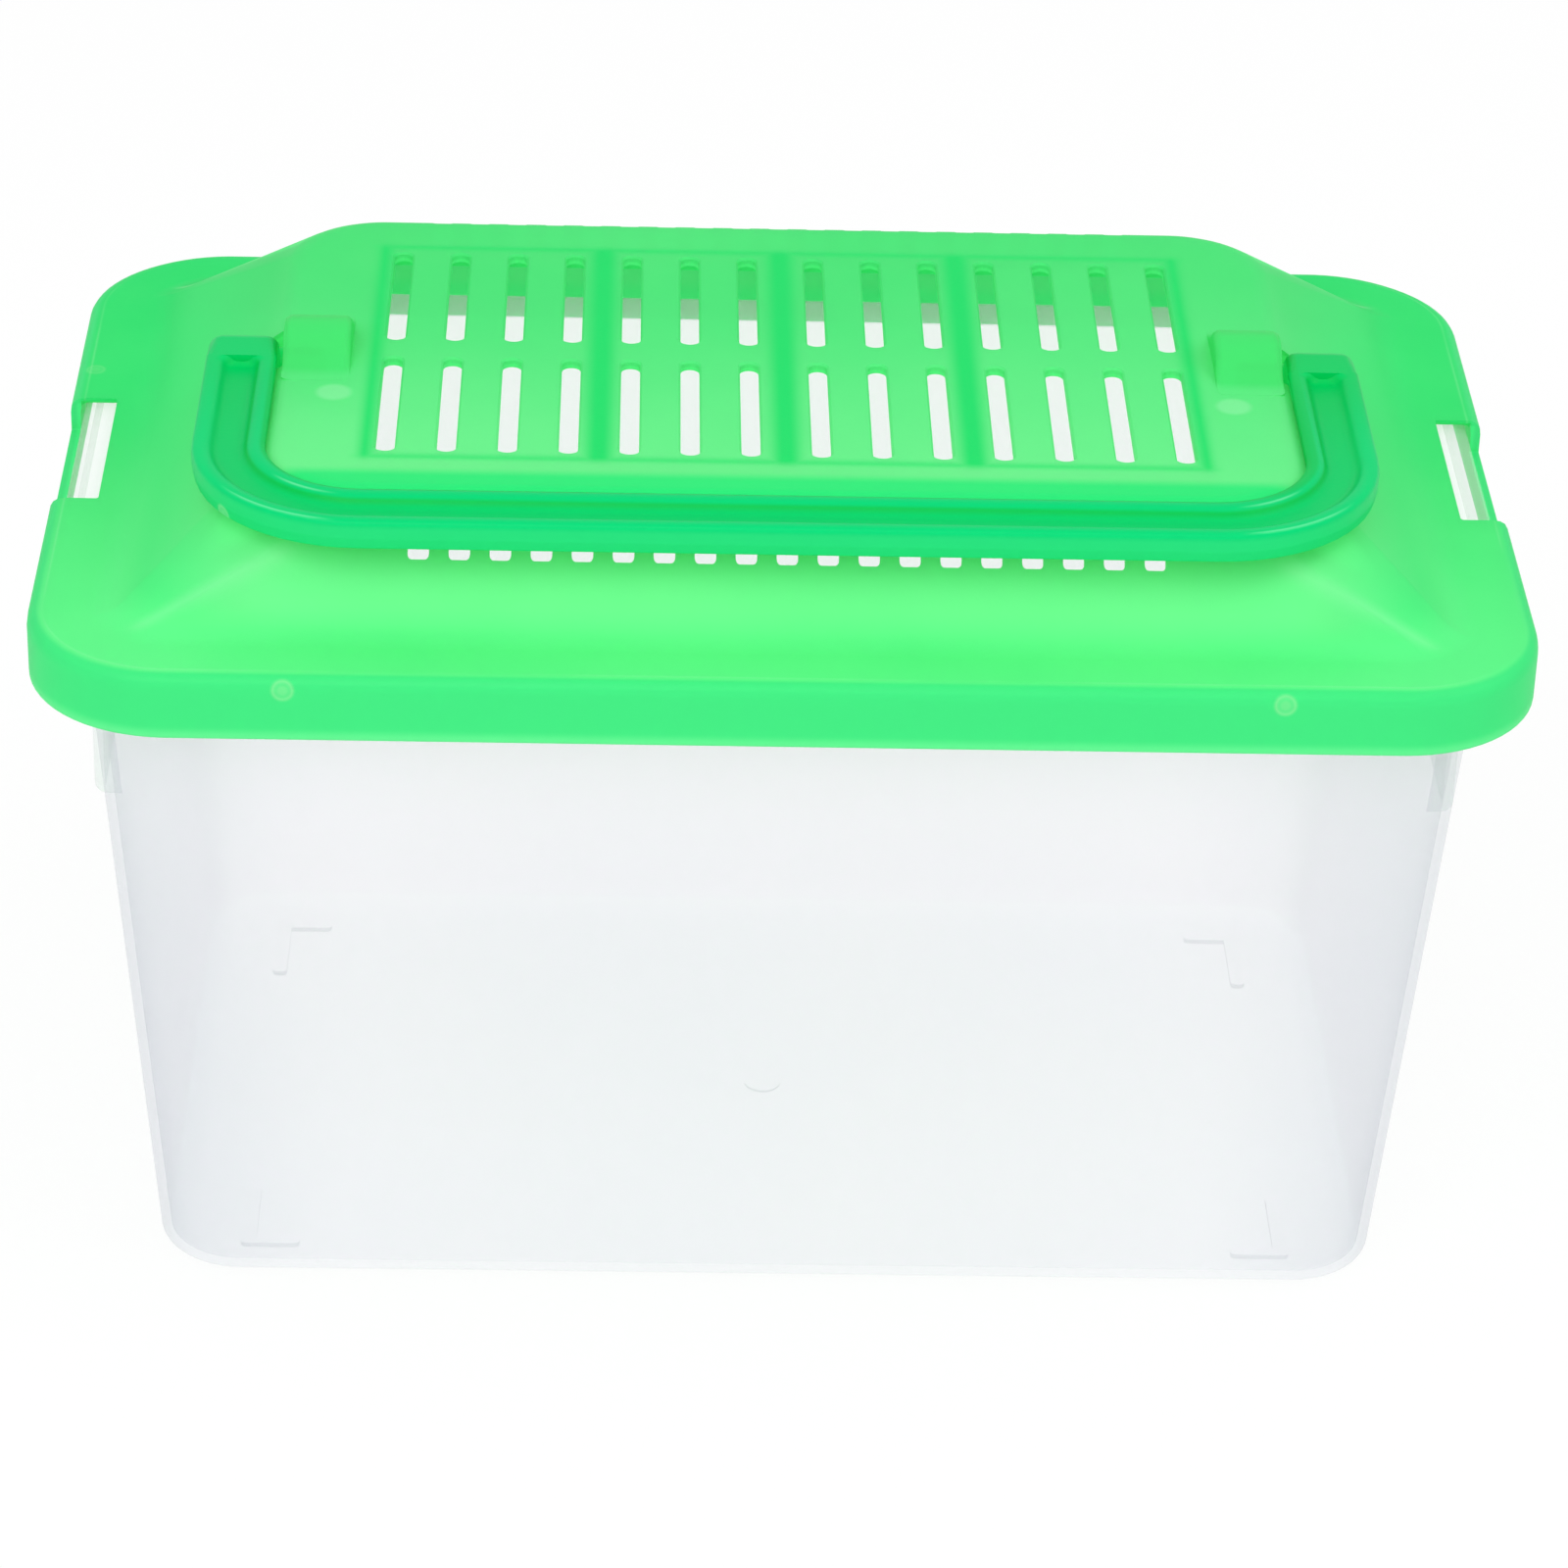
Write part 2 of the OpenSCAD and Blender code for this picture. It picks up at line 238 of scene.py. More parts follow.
def barrel(name, x0, x1, centre, radius, edge, sides=40, steps=4):
    # Round bar along X with rounded rims
    stations = []
    for i in range(steps + 1):
        turn = math.radians(90 - 90 * i / steps)
        stations.append((x0 + edge * (1 - math.sin(turn)), radius - edge * (1 - math.cos(turn))))
    stations += [(x0 + x1 - x, r) for x, r in reversed(stations)]
    vertices = []
    for x, r in stations:
        for i in range(sides):
            angle = 2 * math.pi * i / sides
            vertices.append((x, centre[1] + r * math.cos(angle), centre[2] + r * math.sin(angle)))
    return meshObject(name, vertices, sleeve(sides, len(stations)))


def hullOf(name, points):
    # Smallest convex body round the points
    work = bmesh.new()
    for point in points:
        work.verts.new(Vector(point) * mm)
    result = bmesh.ops.convex_hull(work, input=work.verts)
    spare = {part for part in result["geom_unused"] + result["geom_interior"]
             if isinstance(part, bmesh.types.BMVert)}
    bmesh.ops.delete(work, geom=list(spare), context="VERTS")
    bmesh.ops.recalc_face_normals(work, faces=work.faces)
    mesh = bpy.data.meshes.new(name)
    work.to_mesh(mesh)
    work.free()
    return linked(name, mesh)


def mirrored(name, piece):
    # Copy of a piece on the other side of X = 0, with its faces turned back outwards
    mesh = piece.data.copy()
    mesh.transform(Matrix.Scale(-1, 4, (1, 0, 0)))
    mesh.flip_normals()
    return linked(name, mesh)


# Shader trees

plasticIor = 1.49


class Wire:
    # One output of a shader tree; arithmetic on it adds Math nodes

    def __init__(self, bench, socket):
        self.bench = bench
        self.socket = socket

    def maths(self, operation, first, second=0.0):
        return self.bench.node("ShaderNodeMath", {"operation": operation}, {0: first, 1: second})

    def __add__(self, other):
        return self.maths("ADD", self, other)

    def __radd__(self, other):
        return self.maths("ADD", other, self)

    def __sub__(self, other):
        return self.maths("SUBTRACT", self, other)

    def __rsub__(self, other):
        return self.maths("SUBTRACT", other, self)

    def __mul__(self, other):
        return self.maths("MULTIPLY", self, other)

    def __rmul__(self, other):
        return self.maths("MULTIPLY", other, self)

    def __truediv__(self, other):
        return self.maths("DIVIDE", self, other)

    def __abs__(self):
        return self.maths("ABSOLUTE", self)

    def least(self, other):
        return self.maths("MINIMUM", self, other)

    def most(self, other):
        return self.maths("MAXIMUM", self, other)

    def root(self):
        return self.maths("SQRT", self)

    def fade(self, start, end):
        # 0 at start, 1 at end, smooth between; start may be the larger
        settings = {"data_type": "FLOAT", "interpolation_type": "SMOOTHSTEP"}
        low, high, atLow, atHigh = (start, end, 0.0, 1.0) if start < end else (end, start, 1.0, 0.0)
        sockets = {0: self, 1: low, 2: high, 3: atLow, 4: atHigh}
        return self.bench.node("ShaderNodeMapRange", settings, sockets)


class Bench:
    # A material being built

    def __init__(self, name):
        self.material = bpy.data.materials.new(name)
        self.material.use_nodes = True
        self.tree = self.material.node_tree
        self.tree.nodes.clear()

    def node(self, kind, settings=None, sockets=None, output=0):
        made = self.tree.nodes.new(kind)
        for key, value in (settings or {}).items():
            setattr(made, key, value)
        for key, value in (sockets or {}).items():
            if isinstance(value, Wire):
                self.tree.links.new(value.socket, made.inputs[key])
            else:
                made.inputs[key].default_value = value
        return Wire(self, made.outputs[output])

    def place(self):
        # Object coordinates in millimetres, as three wires and as a vector
        coordinates = self.node("ShaderNodeTexCoord", output=3)
        scaled = self.node("ShaderNodeVectorMath", {"operation": "SCALE"}, {0: coordinates, 3: 1 / mm})
        parts = self.tree.nodes.new("ShaderNodeSeparateXYZ")
        self.tree.links.new(scaled.socket, parts.inputs[0])
        return [Wire(self, parts.outputs[i]) for i in range(3)] + [scaled]

    def noise(self, vector, scale, detail=2.0, roughness=0.5):
        return self.node("ShaderNodeTexNoise", {"noise_dimensions": "3D"},
                         {"Vector": vector, "Scale": scale, "Detail": detail, "Roughness": roughness})

    def mix(self, factor, first, second):
        return self.node("ShaderNodeMix", {"data_type": "RGBA"}, {0: factor, 6: first, 7: second}, output=2)

    def moulded(self, finish, colour, flow, grain, glowMask):
        # Smooth plastic with a fine grain, and painted light: an emitted glow that lifts its shade, full
        # where the glow mask is 1
        bump = self.node("ShaderNodeBump", None, {"Strength": 0.1, "Distance": 0.2 * mm, "Height": grain})
        return self.node("ShaderNodeBsdfPrincipled", None, {
            "Base Color": colour, "Roughness": finish["roughness"] + 0.1 * flow, "IOR": plasticIor,
            "Specular IOR Level": finish["gloss"], "Normal": bump,
            "Emission Color": self.mix(glowMask, finish["paintedGlowBase"], finish["inner"]), "Emission Strength": 1.0})

    def tinted(self, finish, solid):
        # Lets some of the light through, spread and coloured
        soft = self.node("ShaderNodeBsdfTranslucent", None, {"Color": finish["glow"]})
        return self.node("ShaderNodeMixShader", None, {0: finish["translucent"], 1: solid, 2: soft})

    def seenThrough(self, finish, share, body):
        # Lets a share of the view straight through
        clear = self.node("ShaderNodeBsdfTransparent", None, {"Color": finish["tint"]})
        return self.finish(self.node("ShaderNodeMixShader", None, {0: share, 1: body, 2: clear}))

    def finish(self, shader):
        out = self.tree.nodes.new("ShaderNodeOutputMaterial")
        self.tree.links.new(shader.socket, out.inputs["Surface"])
        return self.material


def linear(red, green, blue):
    # Colour as seen on screen, 0 to 255, to scene-linear
    def one(value):
        part = value / 255
        return part / 12.92 if part <= 0.04045 else ((part + 0.055) / 1.055) ** 2.4
    return (one(red), one(green), one(blue), 1.0)


def dressed(piece, material, body, slot):
    piece.data.materials.clear()
    piece.data.materials.append(material)
    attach(piece, body)
    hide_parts(slot)


# Tub

tubSizes = {
    "wall": 1.6, "draft": 4.0, "cornerRadius": 14.0, "baseRound": 2.0, "footHeight": 1.0,
    "rimOut": 6.6, "rimRadius": 21.3, "rimWall": 1.6, "rimDrop": 8.5, "rimEdge": 1.9,
    "apronWidth": 70.0, "apronLow": 78.2, "apronOut": 4.7, "apronRound": 2.0,
    "footIn": (13.4, 8.5), "footArms": (10.0, 18.0), "footThick": 2.6,
    "gateRadius": 3.2, "rimSoft": (1.2, 1.0, 0.4, 0.5, 0.7), "sunk": 0.8,
    "apronIn": 6.0, "apronCorner": 2.2, "hollowCorner": 1.0, "footCorner": 0.9, "smallEdge": 0.3,
}


def tubWallRing(sizes, z, inset, back=0.0):
    lean = math.tan(math.radians(sizes["draft"]))
    rimWall = Vector((tubHigh.x, tubHigh.y)) - Vector((sizes["rimOut"], sizes["rimOut"]))
    halfX, halfY = (half - (tubHigh.z - z) * lean - inset - back for half in rimWall)
    return ring(halfX, halfY, sizes["cornerRadius"] - inset - back, z)


def tubBowl(sizes, inset, floor, steps=9):
    # Rings of the rounded base, from the floor up to the foot of the wall
    bend = sizes["baseRound"] - inset
    rings = []
    for i in range(steps + 1):
        angle = math.radians(90 * i / steps)
        z, back = floor + bend * (1 - math.cos(angle)), bend * (1 - math.sin(angle))
        rings.append(tubWallRing(sizes, z, inset, back))
    return rings


def makeTub(sizes):
    top, wall = tubHigh.z, sizes["wall"]
    under, edge = top - sizes["rimWall"], top - sizes["rimDrop"]
    rimX, rimY, rimR, thick = tubHigh.x, tubHigh.y, sizes["rimRadius"], sizes["rimWall"]
    outside = tubBowl(sizes, 0, sizes["footHeight"])
    inside = tubBowl(sizes, wall, sizes["footHeight"] + wall)
    neck, innerCorner, innerEdge, outerEdge, mouth = sizes["rimSoft"]
    rim = softProfile([
        (outside[-1], 0),
        (tubWallRing(sizes, under, 0), neck),
        (ring(rimX - thick, rimY - thick, rimR - thick, under), innerCorner),
        (ring(rimX - thick, rimY - thick, rimR - thick, edge), innerEdge),
        (ring(rimX, rimY, rimR, edge), outerEdge),
        (ring(rimX, rimY, rimR, top), sizes["rimEdge"]),
        (tubWallRing(sizes, top, wall), mouth),
        (inside[-1], 0)])
    tub = loft("tubShell", outside[:-1] + rim + inside[:-1][::-1], 16)

    # Aprons under the rim at the short ends, hollow and open below
    lean = math.tan(math.radians(sizes["draft"]))
    wallX = tubHigh.x - sizes["rimOut"] - (top - sizes["apronLow"]) * lean
    face, half, low = wallX + sizes["apronOut"], sizes["apronWidth"] / 2, sizes["apronLow"]
    inner = wallX - sizes["apronIn"]
    sunk, small = sizes["sunk"], sizes["smallEdge"]
    apron = softBlock("apron", (inner, -half, low), (face, half, under + sunk),
                      sizes["apronCorner"], sizes["apronRound"])
    hollow = softBlock("apronHollow", (inner - 2, wall - half, low - 4),
                       (face - wall, half - wall, under - 0.1), sizes["hollowCorner"], small)
    midWall = loft("midWall", [tubWallRing(sizes, z, wall / 2) for z in (low - 20, top + 5)], 16)
    combined(apron, "DIFFERENCE", [hollow, midWall])
    parts = [apron, mirrored("apronLeft", apron)]

    # Low feet at the base's corners, and the small round gate mark at its centre
    baseX = tubHigh.x - sizes["rimOut"] - top * lean
    baseY = tubHigh.y - sizes["rimOut"] - top * lean
    footX, footY = baseX - sizes["footIn"][0], baseY - sizes["footIn"][1]
    armX, armY, thin = sizes["footArms"][0], sizes["footArms"][1], sizes["footThick"]
    up = sizes["footHeight"] + sunk
    for sx in (-1, 1):
        for sy in (-1, 1):
            for size in ((armX, thin), (thin, armY)):
                xs = sorted((sx * footX, sx * (footX - size[0])))
                ys = sorted((sy * footY, sy * (footY - size[1])))
                parts.append(softBlock("foot", (xs[0], ys[0], 0), (xs[1], ys[1], up),
                                       sizes["footCorner"], small))
    gate = sizes["gateRadius"]
    parts.append(softBlock("gateMark", (-gate, -gate, 0.4), (gate, gate, up), gate - 0.1, small, 8))
    combined(tub, "UNION", parts)
    return smoothed(tub)


tubFinish = {
    "wall": linear(251, 250, 255), "pale": linear(254, 252, 255), "side": linear(208, 213, 222),
    "foot": linear(236, 239, 250), "rim": linear(226, 246, 232),
    "paintedGlowBase": (0.015, 0.015, 0.015, 1), "inner": (0.09, 0.085, 0.07, 1),
    "seeThrough": 0.845, "seeSide": 0.77, "sideShadeReach": 34.0, "tint": (0.992, 0.984, 0.997, 1),
    "roughness": 0.36, "gloss": 0.2, "edgeShadeReach": 7.0, "footBelow": (1.3, 0.9), "paintedGlowFade": (64, 116),
}


def tubPlastic(finish, sizes):
    bench = Bench("frostedTub")
    x, _, z, place = bench.place()
    flow = bench.noise(place, 0.012, 3.0, 0.6)
    grain = bench.noise(place, 1.1, 2.0)
    colour = bench.mix(flow.fade(0.35, 0.68), finish["wall"], finish["pale"])
    # Painted shade: the short sides are darker, as they look thicker where the eye passes along them
    lean = math.tan(math.radians(sizes["draft"]))
    fromSide = (tubHigh.x - sizes["rimOut"] - tubHigh.z * lean) + z * lean - abs(x)
    side = fromSide.fade(finish["sideShadeReach"], 0.0) * 0.5 + fromSide.fade(finish["edgeShadeReach"], 0.0) * 0.5
    side = side * (fromSide.fade(-3.0, -0.5) * 0.7 + 0.3)
    colour = bench.mix(side, colour, finish["side"])
    colour = bench.mix(z.fade(*finish["footBelow"]), colour, finish["foot"])
    # Painted light: the rim and the aprons outside the wall take a green tint, as of light through the lid
    colour = bench.mix(fromSide.fade(-0.3, -1.3), colour, finish["rim"])
    # Painted light: the glow rises towards the top, lifting the shade under the lid's overhang, over a faint
    # glow everywhere
    solid = bench.moulded(finish, colour, flow, grain, z.fade(*finish["paintedGlowFade"]))
    see = finish["seeThrough"] - 0.02 * flow - (finish["seeThrough"] - finish["seeSide"]) * side
    return bench.seenThrough(finish, see, solid)


tub = makeTub(tubSizes)
print("tub made", len(tub.data.polygons))


# Lid

lidSizes = {
    "wall": 1.6, "cornerRadius": 23.4, "skirt": 11.1, "flange": 13.0,
    "shoulder": 2.6, "skirtEdge": 0.6, "domeHeight": 19.3, "lean": (24.8, 14.5),
    "footRadius": 6.0, "footFlat": 0.65, "footSoft": 3.2, "topRadius": 15.0, "topSoft": 2.0,
    "window": (8.0, 36.8, 6.0), "windowLip": (0.5, 1.6),
    "humpRadius": 7.8, "humpThick": 11.1, "humpFoot": 12.5, "humpEdge": 1.3, "pivotDown": 2.9,
    "boreRadius": 2.45, "boreDepth": 6.6,
    "recess": (7.0, 13.3, 6.0), "topIn": 6.0, "insideSoft": (1.0, 1.5, 1.2, 0.4),
    "recessWallCorner": 1.5, "recessSoft": (0.8, 0.5), "windowSoft": (0.5, 0.3), "bossIn": 0.4,
}
grilleSizes = {
    "slots": 7, "slotPitch": 9.75, "middleGap": 11.3, "slotWidth": 3.1, "slotLength": 34.0, "rowGap": 6.7,
    "lip": 0.35, "vents": 19, "ventPitch": 6.45, "ventWidth": 3.4, "ventLength": 6.6, "ventIn": 0.3,
    "ventShift": -0.5,
    "endRib": 2.6, "endRibGap": 0.4, "longRib": 1.0, "longRibGap": 2.0, "crossRib": 4.2, "slotsBetween": 3,
    "ribDepth": 1.8, "ribSunk": 0.6, "ribSoft": (0.4, 0.3), "longRibSoft": (0.3, 0.2),
    "slotDeep": 8.0, "ventDeep": 16.0, "cutAbove": 2.0, "ventCorner": 0.6,
}
flangeZ = lidLow.z + lidSizes["skirt"]
topZ = flangeZ + lidSizes["domeHeight"]
domeX, domeY = lidHigh.x - lidSizes["flange"], lidHigh.y - lidSizes["flange"]
topX, topY = domeX - lidSizes["lean"][0], domeY - lidSizes["lean"][1]
slotEndX = grilleSizes["middleGap"] / 2 + (grilleSizes["slots"] - 1) * grilleSizes["slotPitch"] \
    + grilleSizes["slotWidth"] / 2
frameX = slotEndX + grilleSizes["endRibGap"] + grilleSizes["endRib"]
frameY = grilleSizes["rowGap"] / 2 + grilleSizes["slotLength"] \
    + grilleSizes["longRibGap"] + grilleSizes["longRib"]
crossX = grilleSizes["middleGap"] / 2 + (grilleSizes["slotsBetween"] - 0.5) * grilleSizes["slotPitch"]


def lidOutside(sizes):
    # Stops of the outer surface, from the skirt's lower edge to the flat top
    x, y, r, back = lidHigh.x, lidHigh.y, sizes["cornerRadius"], sizes["topIn"]
    return [
        (ring(x, y, r, lidLow.z), sizes["skirtEdge"]),
        (ring(x, y, r, flangeZ), sizes["shoulder"]),
        (ring(domeX, domeY, sizes["footRadius"], flangeZ, sizes["footFlat"]), sizes["footSoft"]),
        (ring(topX, topY, sizes["topRadius"], topZ), sizes["topSoft"]),
        (ring(topX - back, topY - back, sizes["topRadius"] - back, topZ), 0)]


def lidInside(sizes):
    # Stops of the inner surface, from the top plate's underside to the skirt's lower edge
    wall, r, back = sizes["wall"], sizes["cornerRadius"], sizes["topIn"]
    dx = wall * math.tan(math.atan(sizes["domeHeight"] / sizes["lean"][0]) / 2)
    dy = wall * math.tan(math.atan(sizes["domeHeight"] / sizes["lean"][1]) / 2)
    x, y = lidHigh.x - wall, lidHigh.y - wall
    under = flangeZ - wall
    topSoft, footSoft, cornerSoft, edgeSoft = sizes["insideSoft"]
    return [
        (ring(topX - dx - back, topY - dy - back, sizes["topRadius"] - back, topZ - wall), 0),
        (ring(topX - dx, topY - dy, sizes["topRadius"], topZ - wall), topSoft),
        (ring(domeX - dx, domeY - dy, sizes["footRadius"], under, sizes["footFlat"]), footSoft),
        (ring(x, y, r - wall, under), cornerSoft),
        (ring(x, y, r - wall, lidLow.z), edgeSoft)]


def humpLoft(sizes, side, blendSteps=6, archSteps=20, edgeSteps=5):
    # Arched hump round the pivot, lofted along X with its side edges rounded
    edge, r, foot, down = sizes["humpEdge"], sizes["humpRadius"], sizes["humpFoot"], sizes["pivotDown"]
    base = topZ - sizes["wall"] / 2

    def outline(inset):
        # One slice: a concave blend from the flat top at each foot, and the arch between
        radius, reach = r - inset, foot - inset
        blend = (reach ** 2 + down ** 2 - radius ** 2) / (2 * (radius - down))
        centreZ = topZ + blend
        join = math.atan2(reach, centreZ - pivot.z)
        points = [(-reach, base), (-reach, topZ + 0.02)]
        for i in range(1, blendSteps + 1):
            angle = join * i / blendSteps
            points.append((-reach + blend * math.sin(angle), centreZ - blend * math.cos(angle)))
        footPoints = points[:]
        for i in range(1, archSteps):
            angle = -join + 2 * join * i / archSteps
            points.append((radius * math.sin(angle), pivot.z + radius * math.cos(angle)))
        return points + [(-y, z) for y, z in reversed(footPoints)]

    start = topX - sizes["humpThick"]
    turns = [math.radians(90 * i / edgeSteps) for i in range(edgeSteps + 1)]
    outer = [(topX - edge + edge * math.sin(turn), edge * (1 - math.cos(turn))) for turn in turns]
    inner = [(start + edge - edge * math.sin(turn), edge * (1 - math.cos(turn))) for turn in reversed(turns)]
    vertices = []
    for x, inset in inner + outer:
        vertices += [(side * x, y, z) for y, z in outline(inset)]
    faces = sleeve(len(outline(0)), len(inner + outer), turned=True)
    return outward(meshObject("hump", vertices, faces))


def perforationTree(sizes):
    # Cuts the rows of slots and the vents out of the lid
    tree = bpy.data.node_groups.new("lidPerforations", "GeometryNodeTree")
    face = tree.interface
    face.new_socket("Lid", in_out="INPUT", socket_type="NodeSocketGeometry")
    ids = {}
    for name in ("slots", "vents"):
        ids[name] = face.new_socket(name, in_out="INPUT", socket_type="NodeSocketInt").identifier
    for name in ("slotPitch", "middleGap", "slotWidth", "slotLength", "rowGap", "lip",
                 "ventPitch", "ventWidth", "ventLength", "ventIn", "ventShift", "topHeight", "topHalfWidth"):
        ids[name] = face.new_socket(name, in_out="INPUT", socket_type="NodeSocketFloat").identifier
    ids["finish"] = face.new_socket("finish", in_out="INPUT", socket_type="NodeSocketMaterial").identifier
    face.new_socket("Lid", in_out="OUTPUT", socket_type="NodeSocketGeometry")
    source = tree.nodes.new("NodeGroupInput")
    sink = tree.nodes.new("NodeGroupOutput")

    def node(kind, settings=None, sockets=None):
        made = tree.nodes.new(kind)
        for key, value in (settings or {}).items():
            setattr(made, key, value)
        for key, value in (sockets or {}).items():
            if isinstance(value, bpy.types.NodeSocket):
                tree.links.new(value, made.inputs[key])
            else:
                made.inputs[key].default_value = value
        return made.outputs[0]

    def maths(operation, first, second=0.0):
        return node("ShaderNodeMath", {"operation": operation}, {0: first, 1: second})

    def vector(x, y, z):
        return node("ShaderNodeCombineXYZ", None, {0: x, 1: y, 2: z})

    def given(name):
        return source.outputs[name]

    def posts(sizeX, sizeY, low, high, radiusLow, radiusHigh, sides):
        # Convex body round four upright posts, whose outsides span sizeX by sizeY
        post = node("GeometryNodeMeshCone", None, {
            "Vertices": sides, "Radius Bottom": radiusLow, "Radius Top": radiusHigh,
            "Depth": maths("SUBTRACT", high, low)})
        twice = maths("MULTIPLY", radiusLow, 2.0)
        spots = node("GeometryNodeMeshGrid", None, {
            "Size X": maths("SUBTRACT", sizeX, twice), "Size Y": maths("SUBTRACT", sizeY, twice),
            "Vertices X": 2, "Vertices Y": 2})
        copies = node("GeometryNodeInstanceOnPoints", None, {"Points": spots, "Instance": post})
        real = node("GeometryNodeRealizeInstances", None, {0: copies})
        hull = node("GeometryNodeConvexHull", None, {0: real})
        return node("GeometryNodeTransform", None, {"Geometry": hull, "Translation": vector(0.0, 0.0, low)})

    def row(shape, count, pitch, startX, y):
        points = node("GeometryNodeMeshLine", {"mode": "OFFSET"}, {
            "Count": count, "Start Location": vector(startX, y, 0.0), "Offset": vector(pitch, 0.0, 0.0)})
        return node("GeometryNodeInstanceOnPoints", None, {"Points": points, "Instance": shape})

    # Slot: a straight cut, and a flared lip at the top plate's upper edge
    top, lip, slotHalf = given("topHeight"), given("lip"), maths("MULTIPLY", given("slotWidth"), 0.5)
    above = maths("ADD", top, sizes["cutAbove"] * mm)
    # A hair wider than its posts, so that their pairs don't fall together
    slim = maths("ADD", given("slotWidth"), 0.002 * mm)
    slotLow = maths("SUBTRACT", top, sizes["slotDeep"] * mm)
    cut = posts(slim, given("slotLength"), slotLow, above, slotHalf, slotHalf, 20)
    flare = posts(slim, given("slotLength"), maths("SUBTRACT", top, lip), maths("ADD", top, lip),
                  slotHalf, maths("ADD", slotHalf, maths("MULTIPLY", lip, 2.0)), 20)
    rows = []
    slotY = maths("MULTIPLY", maths("ADD", given("rowGap"), given("slotLength")), 0.5)
    startX = maths("MULTIPLY", given("middleGap"), 0.5)
    for shape in (cut, flare):
        for sx in (-1.0, 1.0):
            for sy in (-1.0, 1.0):
                rows.append(row(shape, given("slots"), maths("MULTIPLY", given("slotPitch"), sx),
                                maths("MULTIPLY", startX, sx), maths("MULTIPLY", slotY, sy)))
    cuts, flares = rows[:4], rows[4:]

    # Vents: upright cuts through the long slopes, from the edge of the flat top
    ventLow, corner = maths("SUBTRACT", top, sizes["ventDeep"] * mm), sizes["ventCorner"] * mm
    vent = posts(given("ventWidth"), given("ventLength"), ventLow, above, corner, corner, 12)
    span = maths("MULTIPLY", given("ventPitch"), maths("SUBTRACT", given("vents"), 1.0))
    ventY = maths("ADD", maths("SUBTRACT", given("topHalfWidth"), given("ventIn")),
                  maths("MULTIPLY", given("ventLength"), 0.5))
    for sy in (-1.0, 1.0):
        cuts.append(row(vent, given("vents"), given("ventPitch"), maths("MULTIPLY", span, -0.5),
                        maths("ADD", maths("MULTIPLY", ventY, sy), given("ventShift"))))

    def joined(parts):
        join = tree.nodes.new("GeometryNodeJoinGeometry")
        for part in parts:
            tree.links.new(part, join.inputs[0])
        return node("GeometryNodeRealizeInstances", None, {0: join.outputs[0]})

    result = given("Lid")
    for tools in (cuts, flares):
        boolean = tree.nodes.new("GeometryNodeMeshBoolean")
        boolean.operation = "DIFFERENCE"
        boolean.solver = "EXACT"
        tree.links.new(result, boolean.inputs["Mesh 1"])
        tree.links.new(joined(tools), boolean.inputs["Mesh 2"])
        result = boolean.outputs[0]
    real = node("GeometryNodeRealizeInstances", None, {0: result})
    finished = node("GeometryNodeSetMaterial", None, {"Geometry": real, "Material": given("finish")})
    tree.links.new(finished, sink.inputs[0])
    values = {name: size if name in ("slots", "vents") else size * mm
              for name, size in sizes.items() if name in ids}
    values.update(topHeight=topZ * mm, topHalfWidth=topY * mm)
    return tree, {ids[name]: value for name, value in values.items()}, ids["finish"]


